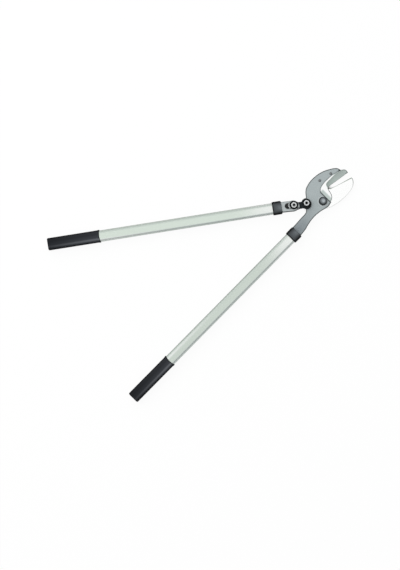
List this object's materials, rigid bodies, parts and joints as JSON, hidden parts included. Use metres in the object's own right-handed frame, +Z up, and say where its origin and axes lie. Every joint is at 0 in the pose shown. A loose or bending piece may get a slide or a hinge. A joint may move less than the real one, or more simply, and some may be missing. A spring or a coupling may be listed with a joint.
{
  "type": "lopper",
  "caption": "Long two-handed bypass lopper with a hooked counter-blade, a slotted fork linkage and straight tubular handles with black grips.",
  "frame": {"origin": "on the blade pivot's axis, at the rear end face of the pivot bolt, in the plane that the tool lies on", "axes": "+Z up along the blade pivot, out of the front of the tool; +X along the fixed handle, from its grip towards the jaws; +Y towards the moving handle"},
  "size_m": [0.7922, 0.4644, 0.0366],
  "materials": {
    "body_paint": "satin grey-green paint on forged steel",
    "counter_steel": "ground and polished",
    "blade_steel": "polished",
    "fork_paint": "satin light grey",
    "black_steel": "black oxide",
    "zinc": "bright zinc",
    "pivot_steel": "dull grey",
    "tube_aluminium": "satin anodised, pale green-grey",
    "collar_plastic": "moulded dark grey",
    "grip_rubber": "matt black",
    "insert_plastic": "moulded"
  },
  "bodies": {
    "head": {"hook_body": "body_paint", "counter_blade": "counter_steel", "cheek_rivet_1": "pivot_steel", "cheek_rivet_2": "pivot_steel", "pivot_bolt": "pivot_steel", "pivot_washer_front": "zinc", "pivot_washer_rear": "zinc", "pivot_nut": "zinc", "link_bolt": "black_steel", "link_washer": "black_steel", "link_nut": "zinc", "fixed_insert": "insert_plastic", "fixed_pin": "zinc", "fixed_tube": "tube_aluminium", "fixed_collar": "collar_plastic", "fixed_grip": "grip_rubber"},
    "moving_handle": {"knuckle": "black_steel", "knuckle_rivet_1": "fork_paint", "knuckle_rivet_2": "fork_paint", "fork_plate_front": "fork_paint", "fork_plate_rear": "fork_paint", "moving_insert": "insert_plastic", "moving_pin": "zinc", "moving_tube": "tube_aluminium", "moving_collar": "collar_plastic", "moving_grip": "grip_rubber"},
    "cutting_blade": {"moving_blade": "blade_steel", "driver_bolt": "black_steel", "driver_bush_rear": "zinc", "driver_bush_front": "zinc", "driver_washer": "black_steel", "driver_nut": "zinc"}
  },
  "joints": [
    {"name": "handle_pivot", "type": "hinge", "parent": "head", "child": "moving_handle", "pos_m": [-0.033, 0.0264, 0.0239], "axis": [0, 0, 1], "range_deg": [-60, 26]},
    {"name": "blade_pivot", "type": "hinge", "parent": "head", "child": "cutting_blade", "pos_m": [0, 0, 0.0091], "axis": [0, 0, 1], "range_deg": [-29.5, 13]}
  ],
  "couplings": [
    {"joint": "blade_pivot", "follows": "handle_pivot", "ratio": 0.483}
  ]
}
